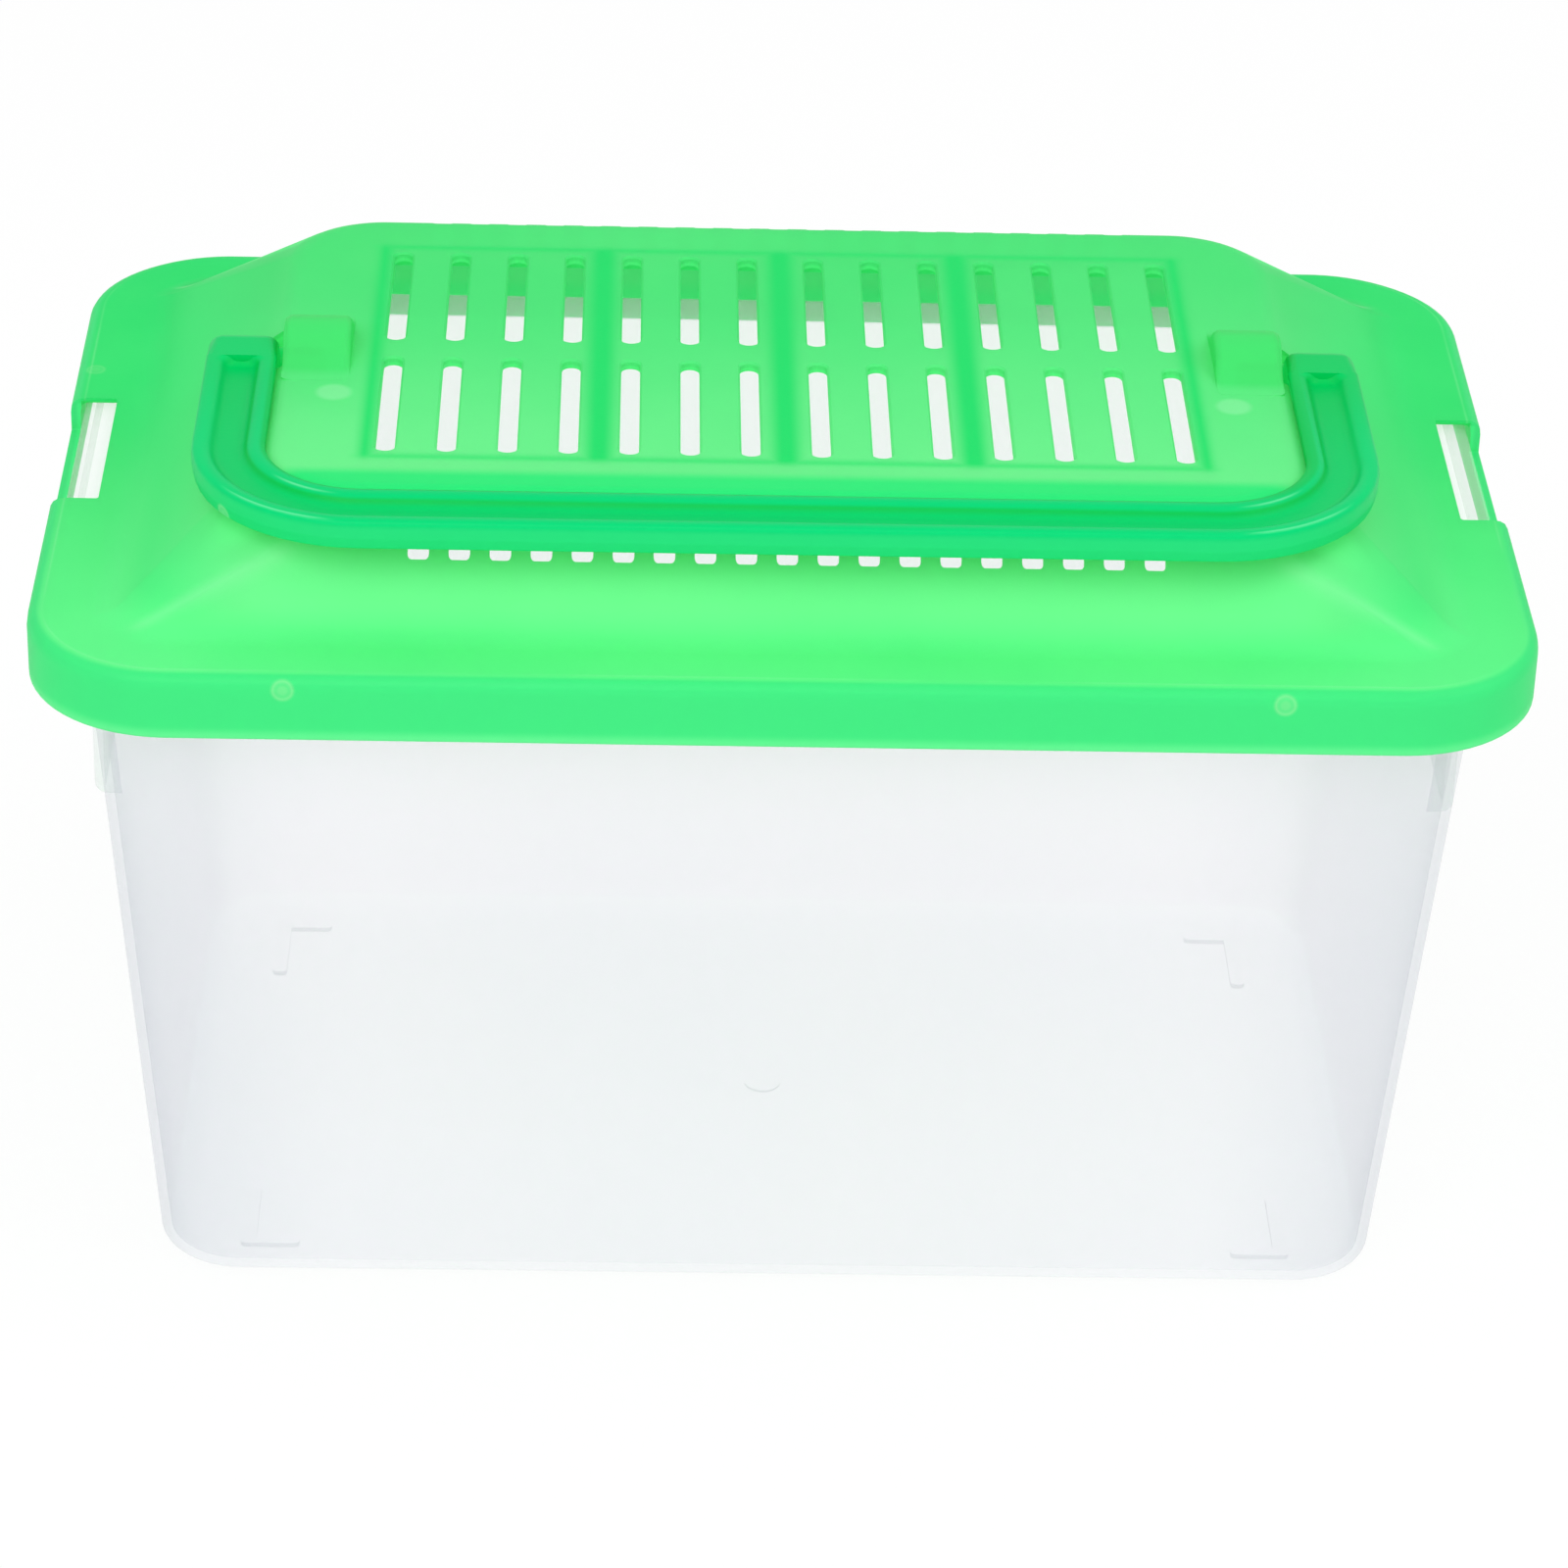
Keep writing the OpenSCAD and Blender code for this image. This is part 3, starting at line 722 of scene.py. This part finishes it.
def makeLid(sizes, grille, material):
    inside, outside = lidInside(sizes), lidOutside(sizes)
    shell = loft("lidShell", softProfile(inside + outside), 16)
    recessY, recessLong, recessDeep = sizes["recess"]
    wall = sizes["wall"]
    floor = pivot.z - recessDeep
    ribLow, ribHigh = topZ - wall - grille["ribDepth"], topZ - wall + grille["ribSunk"]
    closed = softProfile([(outside[0][0], 0)] + outside[1:])
    additions = []
    for side in (-1, 1):
        xs = sorted((side * (topX - wall), side * (topX + recessLong + wall)))
        block = softBlock("recessWall", (xs[0], -recessY - wall, floor - wall),
                          (xs[1], recessY + wall, topZ + 4), sizes["recessWallCorner"])
        combined(block, "INTERSECT", [loft("core", closed, 16)])
        additions += [block, humpLoft(sizes, side)]
        xs = sorted((side * (topX - sizes["humpThick"] + 1), side * topX))
        additions.append(barrel("boss", xs[0], xs[1], pivot, sizes["humpRadius"] - sizes["bossIn"], 0.3))
        xs = sorted((side * frameX, side * (frameX - grille["endRib"])))
        additions.append(softBlock("endRib", (xs[0], -frameY, ribLow), (xs[1], frameY, ribHigh),
                                   *grille["ribSoft"]))
        ys = sorted((side * frameY, side * (frameY - grille["longRib"])))
        additions.append(softBlock("longRib", (-frameX, ys[0], ribLow), (frameX, ys[1], ribHigh),
                                   *grille["longRibSoft"]))
    for i in (-1, 0, 1):
        half = grille["crossRib"] / 2
        additions.append(softBlock("crossRib", (i * crossX - half, -frameY, ribLow),
                                   (i * crossX + half, frameY, ribHigh), *grille["ribSoft"]))
    combined(shell, "UNION", additions)

    cuts = []
    reach, width, drop = sizes["window"]
    lip, back = sizes["windowLip"]
    for side in (-1, 1):
        xs = sorted((side * topX, side * (topX + recessLong)))
        cuts.append(softBlock("recess", (xs[0], -recessY, floor), (xs[1], recessY, topZ + 6),
                              *sizes["recessSoft"]))
        xs = sorted((side * (topX + 2), side * (topX - sizes["boreDepth"])))
        cuts.append(barrel("bore", xs[0], xs[1], pivot, sizes["boreRadius"], 0.2, 32))
        xs = sorted((side * (lidHigh.x - reach), side * (lidHigh.x + 4)))
        cuts.append(softBlock("window", (xs[0], -width / 2, flangeZ - drop),
                              (xs[1], width / 2, flangeZ + 4), *sizes["windowSoft"]))
        xs = sorted((side * (lidHigh.x - reach - 0.6), side * (lidHigh.x - wall - 0.2)))
        cuts.append(softBlock("windowBack", (xs[0], -width / 2 - back, flangeZ - drop),
                              (xs[1], width / 2 + back, flangeZ - lip), *sizes["windowSoft"]))
    combined(shell, "DIFFERENCE", cuts)

    tree, values, finish = perforationTree(grille)
    modifier = shell.modifiers.new("perforations", "NODES")
    modifier.node_group = tree
    for key, value in values.items():
        modifier[key] = value
    modifier[finish] = material
    applied(shell)
    shell.name = "lidShell"
    return smoothed(shell)


lidFinish = {
    "shadedRear": linear(73, 231, 133), "litFront": linear(133, 249, 167), "thick": linear(0, 224, 114),
    "shadedFlangeRear": linear(42, 232, 128), "litFlangeFront": linear(116, 254, 162), "skirt": linear(76, 236, 148),
    "skirtLow": linear(116, 250, 168), "pale": linear(175, 255, 200), "mark": linear(215, 250, 205),
    "frontStrip": linear(46, 238, 140), "hump": linear(82, 232, 128), "side": linear(60, 242, 138),
    "seeThrough": 0.20, "seeThick": 0.08, "tint": (0.16, 0.94, 0.38, 1), "translucent": 0.25,
    "roughness": 0.36, "gloss": 0.16, "ribSoft": 1.6, "shoulderHighlightIn": 2.5,
    "frontFade": (30, -72), "frontShares": (0.85, 0.12, 0.15), "flowFade": (0.35, 0.68),
    "sideShadeFade": (82, 104), "sideShadeShare": 0.7, "creaseShares": (0.45, 0.9), "barPaintedGlow": (3.5, 3.5, 0.7),
    "frontCrease": ((103.0, -63.8), (75.0, -55.8), 0.5, 1.6),
    "rearCrease": ((105.5, 62.3), (84.0, 47.4), 0.5, 0.8),
    "footHighlight": (73.3, -16.9), "footHighlightReach": 2.9,
    "gateMarks": ((-78.3, -78.1, 122.9, 1.5), (77.6, -78.1, 122.9, 1.5), (-116.7, 29.5, 125.1, 1.4)),
    "glow": (0.14, 0.86, 0.32, 1), "inner": (0.022, 0.15, 0.05, 1), "paintedGlowBase": (0, 0, 0, 1),
}


def band(wire, centre, half, soft):
    # 1 within half of the centre, falling to 0 over soft
    return abs(wire - centre).fade(half + soft, half - soft)


def edgeDistance(x, y, halfX, halfY, radius):
    # Distance from the outline of a rounded rectangle, negative inside it
    outX, outY = x - (halfX - radius), y - (halfY - radius)
    cornerX, cornerY = outX.most(0.0), outY.most(0.0)
    return (cornerX * cornerX + cornerY * cornerY).root() + outX.most(outY).least(0.0) - radius


def ringMark(x, y, z, spot, lineShare=0.45, middleShare=0.25):
    # Small round gate mark: a pale ring with a faint middle
    dx, dy, dz, radius = x - spot[0], y - spot[1], z - spot[2], spot[3]
    reach = (dx * dx + dy * dy + dz * dz).root()
    return band(reach, radius, 0.15, 0.5) * lineShare + reach.fade(radius, radius * 0.3) * middleShare


def creaseHighlight(x, y, crease):
    # Painted highlight: a pale streak down two corners of the dome, where its slopes meet
    foot, top, half, soft = crease
    foot, top = Vector(foot), Vector(top)
    along = (foot - top).normalized()
    across = (abs(x) - foot.x) * along.y - (y - foot.y) * along.x
    run = (abs(x) - top.x) * along.x + (y - top.y) * along.y
    length = (foot - top).length
    return band(across, 0.0, half, soft) * run.fade(0.0, 6.0) * run.fade(length + 2, length - 3)


def paintedGlowMask(x, y, z, edge, finish):
    # Mask of painted light: 1 on the surfaces under the lid, in its recesses and below the folded handle's
    # bar, where an emitted glow lifts their shade
    lift = (z - flangeZ) / lidSizes["domeHeight"]
    halfX, halfY = domeX - lift * lidSizes["lean"][0], domeY - lift * lidSizes["lean"][1]
    dome = edgeDistance(abs(x), abs(y), halfX, halfY, 10.0).fade(-0.7, -1.4)
    dome = dome * z.fade(topZ - 0.7, topZ - 1.3) * z.fade(flangeZ - 1.9, flangeZ - 1.3)
    flange = z.fade(flangeZ - 0.7, flangeZ - 1.3) * edge.fade(-0.7, -1.4)
    half, soft, share = finish["barPaintedGlow"]
    underBarGlow = band(y, handleLow.y + half, half, soft) * abs(x).fade(88, 78)
    underBarGlow = underBarGlow * z.fade(flangeZ + 0.5, flangeZ + 3) * share
    return dome.most(flange).most(underBarGlow)


def ribShade(x, y, z, grille, soft):
    # Where the ribs under the top plate make it thick
    endAt, longAt = frameX - grille["endRib"] / 2, frameY - grille["longRib"] / 2
    end = band(abs(x), endAt, grille["endRib"] / 2, soft)
    long = band(abs(y), longAt, grille["longRib"] / 2 + 0.4, soft)
    crossHalf = grille["crossRib"] / 2
    cross = band(x, 0.0, crossHalf, soft).most(band(abs(x), crossX, crossHalf, soft))
    inside = abs(x).fade(frameX + soft, frameX - soft) * abs(y).fade(frameY + soft, frameY - soft)
    return end.most(long).most(cross) * inside * z.fade(topZ - 5, topZ - 3)


def lidPlastic(finish, grille):
    bench = Bench("greenLid")
    x, y, z, place = bench.place()
    flow = bench.noise(place, 0.018, 3.0, 0.6)
    grain = bench.noise(place, 1.4, 2.0)
    # Painted light: lighter towards the front and a little on the top plate, as where the lamps fall, and
    # darker towards the rear, on the flange too; the random paler spots from the flow noise are the
    # plastic's own tone
    along, top, spots = finish["frontShares"]
    litFront = y.fade(*finish["frontFade"]) * along + z.fade(topZ - 4.0, topZ - 0.3) * top
    litFront = litFront + flow.fade(*finish["flowFade"]) * spots
    edge = edgeDistance(abs(x), abs(y), lidHigh.x, lidHigh.y, lidSizes["cornerRadius"])
    thick = ribShade(x, y, z, grille, finish["ribSoft"])
    colour = bench.mix(litFront, finish["shadedRear"], finish["litFront"])
    flange = bench.mix(litFront, finish["shadedFlangeRear"], finish["litFlangeFront"])
    # Painted shade: deeper green towards the short ends
    colour = bench.mix(abs(x).fade(*finish["sideShadeFade"]) * finish["sideShadeShare"], colour, finish["side"])
    colour = bench.mix(z.fade(flangeZ + 5.0, flangeZ + 0.4), colour, flange)
    colour = bench.mix(edge.fade(-2.2, -1.2), colour, finish["skirt"])
    colour = bench.mix(z.fade(lidLow.z + 2.4, lidLow.z + 0.4), colour, finish["skirtLow"])
    strip = y.fade(-frameY - 2.5, -frameY - 6.0) * z.fade(topZ - 3, topZ - 1)
    colour = bench.mix(strip, colour, finish["frontStrip"])
    colour = bench.mix(z.fade(topZ - 0.1, topZ + 0.6), colour, finish["hump"])
    colour = bench.mix(thick, colour, finish["thick"])

    # Painted highlights: a fine pale line along the shoulder, pale streaks down the dome's corners and a
    # pale spot on the top plate; then the gate marks
    shoulderHighlight = band(edge, -finish["shoulderHighlightIn"], 0.1, 0.3) * z.fade(flangeZ - 1.0, flangeZ - 0.4)
    shoulderHighlight = shoulderHighlight * flow.fade(0.4, 0.6) * 0.4
    frontShare, rearShare = finish["creaseShares"]
    highlightStreak = creaseHighlight(x, y, finish["frontCrease"]) * frontShare
    highlightStreak = highlightStreak.most(creaseHighlight(x, y, finish["rearCrease"]) * rearShare)
    highlightStreak = highlightStreak * z.fade(flangeZ - 0.4, flangeZ + 0.8)
    # Painted highlight: a pale spot on the top plate in front of each hump
    patchX, patchY = finish["footHighlight"]
    fromHighlight = ((abs(x) - patchX) * (abs(x) - patchX) + (y - patchY) * (y - patchY)).root()
    highlightSpot = fromHighlight.fade(finish["footHighlightReach"] + 0.6, finish["footHighlightReach"] - 0.8)
    highlightSpot = highlightSpot * z.fade(topZ - 1, topZ - 0.5) * 0.5
    colour = bench.mix(shoulderHighlight.most(highlightStreak).most(highlightSpot), colour, finish["pale"])
    marks = [ringMark(x, y, z, spot) for spot in finish["gateMarks"]]
    colour = bench.mix(marks[0].most(marks[1]).most(marks[2] * 0.5), colour, finish["mark"])

    solid = bench.moulded(finish, colour, flow, grain, paintedGlowMask(x, y, z, edge, finish))
    see = finish["seeThrough"] - (finish["seeThrough"] - finish["seeThick"]) * thick
    return bench.seenThrough(finish, see, bench.tinted(finish, solid))


lidMaterial = lidPlastic(lidFinish, grilleSizes)
lid = makeLid(lidSizes, grilleSizes, lidMaterial)
print("lid made", len(lid.data.polygons))


# Handle

handleSizes = {
    "width": 11.7, "outerHeight": 5.1, "innerHeight": 1.65, "bend": 16.0, "solidEnd": 6.0,
    "channel": 6.6, "channelLean": 1.2, "channelDepth": 1.8, "channelCorner": 2.3,
    "floorRise": 1.6, "floor": 1.3,
    "edge": 1.0, "partingDown": 3.1, "partingIn": 0.4,
    "pinRadius": 2.4, "pinLength": 7.0, "endEdge": 2.2,
}


def cornerRounded(points, steps=3):
    # Closed outline whose corners are rounded: each point is (s, h, radius)
    outline = []
    for i, (s, h, soft) in enumerate(points):
        here = Vector((s, h))
        if soft == 0:
            outline.append(here)
            continue
        before, after = (Vector(points[(i + k) % len(points)][:2]) for k in (-1, 1))
        a = here.lerp(before, min(0.45, soft / max((before - here).length, 0.001)))
        b = here.lerp(after, min(0.45, soft / max((after - here).length, 0.001)))
        for k in range(steps + 1):
            t = k / steps
            outline.append(a * (1 - t) ** 2 + here * 2 * t * (1 - t) + b * t * t)
    return outline


def handleSection(sizes, share, depth):
    # Section from the inner edge outwards; the channel is open by a share of its width and to a depth
    width, wall, lean = sizes["width"], (sizes["width"] - sizes["channel"]) / 2, sizes["channelLean"]
    under, edge = sizes["channelDepth"] + sizes["floor"], sizes["edge"]
    middle, half = width / 2, sizes["channel"] / 2 * share
    low = max(half - lean, 0.2)
    return cornerRounded([
        (0, 0, edge), (0, -sizes["innerHeight"], 0.3), (wall, -under, 0.3), (width - wall, -under, 0.4),
        (width - wall, -sizes["outerHeight"], 0.3), (width - sizes["partingIn"], -sizes["outerHeight"], 0.5),
        (width, -sizes["partingDown"], 0.2), (width, 0, edge),
        (middle + half, 0, 1.0), (middle + low, -depth, 1.0), (middle - low, -depth, 1.0),
        (middle - half, 0, 1.0)])


def handlePath(sizes, bendSteps=14):
    # Stations from one arm's end to the other: inner point, outward direction, distance from that end
    armX, barY = handleHigh.x - sizes["width"], -handleLow.y - sizes["width"]
    bend = sizes["bend"]
    centreX, centreY = armX - bend, bend - barY
    half = []
    for distance in (0.0, 0.15, 0.4, 0.8, 1.3, 1.9, 2.5, 8.0, 16.0, 24.0):
        half.append(((armX, -sizes["solidEnd"] - distance), (1, 0), distance))
    farOn = 99.0
    for i in range(bendSteps + 1):
        angle = -math.radians(90 * i / bendSteps)
        out = (math.cos(angle), math.sin(angle))
        half.append(((centreX + bend * out[0], centreY + bend * out[1]), out, farOn))
    for i in range(1, 5):
        half.append(((centreX * (1 - i / 5), -barY), (0, -1), farOn))
    other = [((-p[0], p[1]), (-o[0], o[1]), d) for p, o, d in reversed(half)]
    return half + other


def makeHandle(sizes):
    top, width = handleHigh.z, sizes["width"]
    armX = handleHigh.x - width
    stations = handlePath(sizes)
    half, corner, full = sizes["channel"] / 2, sizes["channelCorner"], sizes["channelDepth"]
    vertices = []
    for point, out, distance in stations:
        # The channel's end is rounded seen from above, and its floor rises there
        short = corner - min(distance, corner)
        share = (half - corner + math.sqrt(max(corner ** 2 - short ** 2, 0.01))) / half
        depth = full * math.sqrt(1 - min(0.9999, (1 - min(distance / sizes["floorRise"], 1)) ** 2))
        for s, h in handleSection(sizes, share, max(depth, 0.02)):
            vertices.append((point[0] + out[0] * s, point[1] + out[1] * s, top + h))
    faces = sleeve(len(handleSection(sizes, 1.0, full)), len(stations), turned=True)
    handle = outward(meshObject("handleGrip", vertices, faces))

    # Round ends about the pivot, and the pins
    radius = top - pivot.z
    parts = []
    for side in (-1, 1):
        xs = sorted((side * armX, side * handleHigh.x))
        ends = barrel("armEnd", xs[0], xs[1], pivot, radius, sizes["endEdge"])
        points = [v.co / mm for v in ends.data.vertices]
        bpy.data.objects.remove(ends)
        edge, joinY = sizes["edge"], -sizes["solidEnd"] - 0.4
        for x in xs:
            inward = edge if x == xs[0] else -edge
            points += [(x, joinY, pivot.z), (x, joinY, top - edge),
                       (x + inward * 0.3, joinY, top - edge * 0.3), (x + inward, joinY, top)]
        parts.append(hullOf("armEnd", points))
        xs = sorted((side * (armX - sizes["pinLength"]), side * (armX + 1)))
        parts.append(barrel("pin", xs[0], xs[1], pivot, sizes["pinRadius"], 0.4, 32))
    combined(handle, "UNION", parts)
    return smoothed(handle)


handleFinish = {
    "top": linear(0, 218, 126), "wall": linear(38, 224, 132), "channel": linear(0, 213, 114),
    "channelWall": linear(0, 204, 90), "innerEdge": linear(0, 204, 92), "pale": linear(140, 255, 195),
    "mark": linear(215, 250, 205), "seeThrough": 0.08, "tint": (0.06, 0.9, 0.3, 1), "translucent": 0.15,
    "roughness": 0.32, "gloss": 0.10, "gate": (-88.9, -54.1, 141.2, 1.2),
    "glow": (0.02, 0.74, 0.2, 1), "inner": (0.005, 0.2, 0.05, 1), "paintedGlowBase": (0, 0, 0, 1),
}


def handlePlastic(finish, sizes):
    bench = Bench("greenHandle")
    x, y, z, place = bench.place()
    flow = bench.noise(place, 0.03, 3.0, 0.6)
    grain = bench.noise(place, 1.4, 2.0)
    top, wall = handleHigh.z, (sizes["width"] - sizes["channel"]) / 2
    side = 0.0 - edgeDistance(abs(x), 0.0 - y, handleHigh.x, -handleLow.y, sizes["bend"] + sizes["width"])
    width = sizes["width"]
    colour = bench.mix(z.fade(top - 0.5, top - 1.6) * side.fade(2.0, 1.2), finish["top"], finish["wall"])
    inChannel = band(side, width / 2, sizes["channel"] / 2 - 0.2, 0.4)
    colour = bench.mix(inChannel * z.fade(top - 0.3, top - 1.0), colour, finish["channel"])
    nearWall = band(side, width - wall - 0.5, 0.3, 0.4)
    colour = bench.mix(nearWall * z.fade(top - 0.2, top - 0.7), colour, finish["channelWall"])
    # Painted shade: darker along the inner edge, next to the lid
    innerEdge = side.fade(width - 1.2, width - 0.4) * 0.8
    colour = bench.mix(innerEdge, colour, finish["innerEdge"])
    # Painted shade: the arms are darker towards their ends, most of all the right one, with a dark strip
    # along the right arm's inner side
    strip = side.fade(width - 2.3, width - 1.5) * x.fade(60, 80) * y.fade(-58, -46)
    armEnd = y.fade(-40, -6) * (0.35 + x.fade(-60, 60) * 0.25)
    colour = bench.mix((strip * 0.8).most(armEnd), colour, finish["innerEdge"])
    # Painted highlights: pale lines along the edges, only round the two bends
    corner = abs(x).fade(70, 76) * abs(x).fade(90, 84) * y.fade(-48, -52)
    outerHighlight = band(side, 0.55, 0.1, 0.25) * z.fade(top - 1.2, top - 0.7)
    innerHighlight = band(side, width - wall + 0.3, 0.1, 0.25) * z.fade(top - 0.6, top - 0.3)
    colour = bench.mix(outerHighlight.most(innerHighlight) * corner * 0.7, colour, finish["pale"])
    colour = bench.mix(ringMark(x, y, z, finish["gate"]), colour, finish["mark"])
    # Painted light: the sides of the arms that face the humps, and the underside, get an emitted glow that
    # lifts their shade
    paintedGapGlow = side.fade(width - 0.5, width - 0.1) * y.fade(-16, -12)
    paintedGapGlow = paintedGapGlow.most(z.fade(top - 3.0, top - 4.2) * side.fade(0.3, 0.9)) * z.fade(top - 0.6, top - 1.2)
    solid = bench.moulded(finish, colour, flow, grain, paintedGapGlow)
    return bench.seenThrough(finish, finish["seeThrough"], bench.tinted(finish, solid))


handle = makeHandle(handleSizes)
print("handle made", len(handle.data.polygons))


# Dressing

dressed(tub, tubPlastic(tubFinish, tubSizes), "tub", "tub")
dressed(lid, lidMaterial, "lid", "lid")
dressed(handle, handlePlastic(handleFinish, handleSizes), "handle", "handle")
print("materials on")


# Floor, lamps and world

stageSizes = {
    "floor": 4000.0, "floorDown": 0.05, "worldStrength": 0.778, "keepShadow": 0.10,
    "aim": (0, 0, 80),
    "lamps": (
        ("key", (-400, -1000, 1100), 900, 8.0),
        ("fill", (900, -300, 1200), 900, 4.0),
    ),
}


def makeStage(sizes):
    # The floor lies just under the feet, so that no two faces share a plane
    half, down = sizes["floor"] / 2, -sizes["floorDown"]
    corners = [(-half, -half, down), (half, -half, down), (half, half, down), (-half, half, down)]
    floor = meshObject("floor", corners, [(0, 1, 2, 3)])
    bench = Bench("whiteFloor")
    rays = bench.tree.nodes.new("ShaderNodeLightPath")
    seen = Wire(bench, rays.outputs["Is Camera Ray"]) + Wire(bench, rays.outputs["Is Glossy Ray"]) \
        + Wire(bench, rays.outputs["Is Transmission Ray"])
    share = seen.least(1.0) * (1 - sizes["keepShadow"])
    matt = bench.node("ShaderNodeBsdfDiffuse", None, {"Color": (0.96, 0.96, 0.96, 1)})
    glow = bench.node("ShaderNodeEmission", None, {"Color": (1, 1, 1, 1), "Strength": 1.0})
    white = bench.node("ShaderNodeMixShader", None, {0: share, 1: matt, 2: glow})
    floor.data.materials.append(bench.finish(white))

    world = bpy.data.worlds.new("studio")
    bpy.context.scene.world = world
    world.use_nodes = True
    nodes, links = world.node_tree.nodes, world.node_tree.links
    nodes.clear()
    paths = nodes.new("ShaderNodeLightPath")
    pick = nodes.new("ShaderNodeMix")
    pick.data_type = "FLOAT"
    pick.inputs[2].default_value = sizes["worldStrength"]
    pick.inputs[3].default_value = 1.0
    background = nodes.new("ShaderNodeBackground")
    background.inputs["Color"].default_value = (1, 1, 1, 1)
    output = nodes.new("ShaderNodeOutputWorld")
    # Only the camera sees it white: the plastic spreads the rest as light
    links.new(paths.outputs["Is Camera Ray"], pick.inputs[0])
    links.new(pick.outputs[0], background.inputs["Strength"])
    links.new(background.outputs[0], output.inputs["Surface"])

    aim = Vector(sizes["aim"])
    for name, place, size, power in sizes["lamps"]:
        data = bpy.data.lights.new(name, "AREA")
        data.shape = "SQUARE"
        data.size = size * mm
        data.energy = power
        lamp = linked(name, data)
        lamp.location = Vector(place) * mm
        lamp.rotation_euler = (aim - Vector(place)).to_track_quat("-Z", "Y").to_euler()
    bpy.context.scene.view_settings.view_transform = "Standard"


makeStage(stageSizes)
print("stage made")
